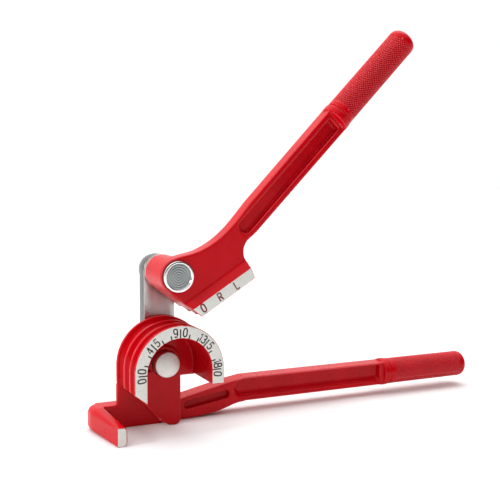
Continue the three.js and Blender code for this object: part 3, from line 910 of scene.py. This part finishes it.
class FinishHardware(bpy.types.Operator):
    """Gives the spacers, washers, clips, bushes and studs their finishes"""
    bl_idname = "tube_bender.hardware"
    bl_label = "Spacers, washers and clips"

    def execute(self, context):
        zinc = metal_finish("zinc_plate", (0.6, 0.6, 0.58), 0.38, (500.0, 500.0, 500.0))
        spring = metal_finish("oiled_spring", (0.16, 0.16, 0.17), 0.42, (300.0, 1500.0, 300.0))
        bronze = metal_finish("sintered_bronze", (0.5, 0.33, 0.16), 0.45, (1200.0, 1200.0, 1200.0))
        ends = {"clip": spring, "bush": bronze, "spacer": zinc, "washer": zinc, "stud": zinc}
        for name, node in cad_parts.items():
            finish = ends.get(name.rsplit("_", 1)[-1])
            if finish:
                node.data.materials.clear()
                node.data.materials.append(finish)
        return {"FINISHED"}


class InkMarks(bpy.types.Operator):
    """Draws the angle scale on the ring and the index marks on the shoe"""
    bl_idname = "tube_bender.marks"
    bl_label = "Scale and index marks"

    def execute(self, context):
        scene = context.scene
        settings = scene.bender_finish
        width = scene.bender_shape.mark_width
        scale = inked("angle_scale", ring_lines(), width, FRONT)
        dress(scale, ink_finish("scale_ink", settings.ink), "former_handle")
        marks = to_shoe(inked("shoe_marks", shoe_lines(), width * 1.2, SHOE_FRONT))
        dress(marks, ink_finish("shoe_ink", settings.shoe_ink), "shoe_handle")
        return {"FINISHED"}


class BuildStage(bpy.types.Operator):
    """Sets the floor, the studio lights and the camera"""
    bl_idname = "tube_bender.stage"
    bl_label = "Studio"

    def execute(self, context):
        self.floor()
        self.world(context.scene)
        stage = context.scene.bender_stage
        self.light("key", *KEY_LIGHT, stage.key)
        self.light("top", *TOP_LIGHT, stage.top)
        self.camera(context.scene, stage.lens)
        return {"FINISHED"}

    def floor(self):
        bm = bmesh.new()
        bmesh.ops.create_circle(bm, cap_ends=True, radius=FLOOR_R, segments=128)
        mesh = bpy.data.meshes.new("studio_floor")
        bm.to_mesh(mesh)
        bm.free()
        floor = bpy.data.objects.new("studio_floor", mesh)
        bpy.context.scene.collection.objects.link(floor)
        f = Finish("pale_floor", Specular_IOR_Level=0.1, Roughness=0.9)
        f.join(f.colours(f.spread(f.noise(3.0), 0.0, 1.0), (0.83, 0.83, 0.83), (0.86, 0.86, 0.86)),
               f.bsdf.inputs["Base Color"])
        mesh.materials.append(f.material)

    def world(self, scene):
        """A soft white room that is brightest overhead, bright behind the tool and dim in front."""
        world = bpy.data.worlds.new("studio")
        world.use_nodes = True
        tree = world.node_tree
        split = tree.nodes.new("ShaderNodeSeparateXYZ")
        tree.links.new(tree.nodes.new("ShaderNodeTexCoord").outputs["Generated"], split.inputs[0])
        room = self.ramp(tree, split.outputs["Y"], -0.25, 0.6, 0.05, 1.02)
        ceiling = self.ramp(tree, split.outputs["Z"], 0.45, 0.9, 0.0, 1.5)
        both = tree.nodes.new("ShaderNodeMath")
        tree.links.new(room, both.inputs[0])
        tree.links.new(ceiling, both.inputs[1])
        tree.links.new(both.outputs[0], tree.nodes["Background"].inputs["Strength"])
        tree.nodes["Background"].inputs["Color"].default_value = (1.0, 1.0, 1.0, 1.0)
        scene.world = world
        scene.view_settings.view_transform = "Standard"

    def ramp(self, tree, value, start, end, low, high):
        node = tree.nodes.new("ShaderNodeMapRange")
        for socket, number in zip(("From Min", "From Max", "To Min", "To Max"), (start, end, low, high)):
            node.inputs[socket].default_value = number
        tree.links.new(value, node.inputs["Value"])
        return node.outputs["Result"]

    def light(self, name, place, target, size, power):
        data = bpy.data.lights.new(name, "AREA")
        data.shape = "DISK"
        data.size = size
        data.energy = power
        light = bpy.data.objects.new(name, data)
        light.location = place
        light.rotation_euler = (Vector(target) - Vector(place)).to_track_quat("-Z", "Y").to_euler()
        bpy.context.scene.collection.objects.link(light)

    def camera(self, scene, lens):
        azimuth, elevation, roll = (math.radians(angle) for angle in CAMERA_TURN)
        look = Vector((math.sin(azimuth) * math.cos(elevation), math.cos(azimuth) * math.cos(elevation),
                       -math.sin(elevation)))
        right = Vector((math.cos(azimuth), -math.sin(azimuth), 0))
        up = right.cross(look)
        side = right * math.cos(roll) + up * math.sin(roll)
        head = up * math.cos(roll) - right * math.sin(roll)
        data = bpy.data.cameras.new("studio_camera")
        data.sensor_width = 36.0
        data.lens = lens
        camera = bpy.data.objects.new("studio_camera", data)
        turn = Matrix((side, head, -look)).transposed().to_4x4()
        camera.matrix_world = Matrix.Translation(CAMERA_PLACE) @ turn
        scene.collection.objects.link(camera)
        scene.camera = camera


class BenderPanel(bpy.types.Panel):
    """Lists the steps that build the tube bender"""
    bl_idname = "VIEW3D_PT_tube_bender"
    bl_label = "Tube bender"
    bl_space_type = "VIEW_3D"
    bl_region_type = "UI"
    bl_category = "Tube bender"

    def draw(self, context):
        scene = context.scene
        for group in (scene.bender_shape, scene.bender_finish, scene.bender_stage):
            box = self.layout.box()
            for name in group.__annotations__:
                box.prop(group, name)
        for step in STEPS:
            self.layout.operator(step.bl_idname)


STEPS = (BuildFormer, BuildShoe, BuildGrips, BuildPins, BuildLink, FinishHardware, InkMarks, BuildStage)
GROUPS = {"bender_shape": BenderShape, "bender_finish": BenderFinish, "bender_stage": BenderStage}


def register():
    for cls in (*GROUPS.values(), *STEPS, BenderPanel):
        bpy.utils.register_class(cls)
    for name, group in GROUPS.items():
        setattr(bpy.types.Scene, name, bpy.props.PointerProperty(type=group))


def unregister():
    for name in GROUPS:
        delattr(bpy.types.Scene, name)
    for cls in reversed((*GROUPS.values(), *STEPS, BenderPanel)):
        bpy.utils.unregister_class(cls)


def main():
    register()
    bpy.ops.tube_bender.stage()
    bpy.ops.tube_bender.former()
    bpy.ops.tube_bender.shoe()
    bpy.ops.tube_bender.grips()
    bpy.ops.tube_bender.pins()
    bpy.ops.tube_bender.link()
    bpy.ops.tube_bender.hardware()
    bpy.ops.tube_bender.marks()


if __name__ == "__main__":
    main()
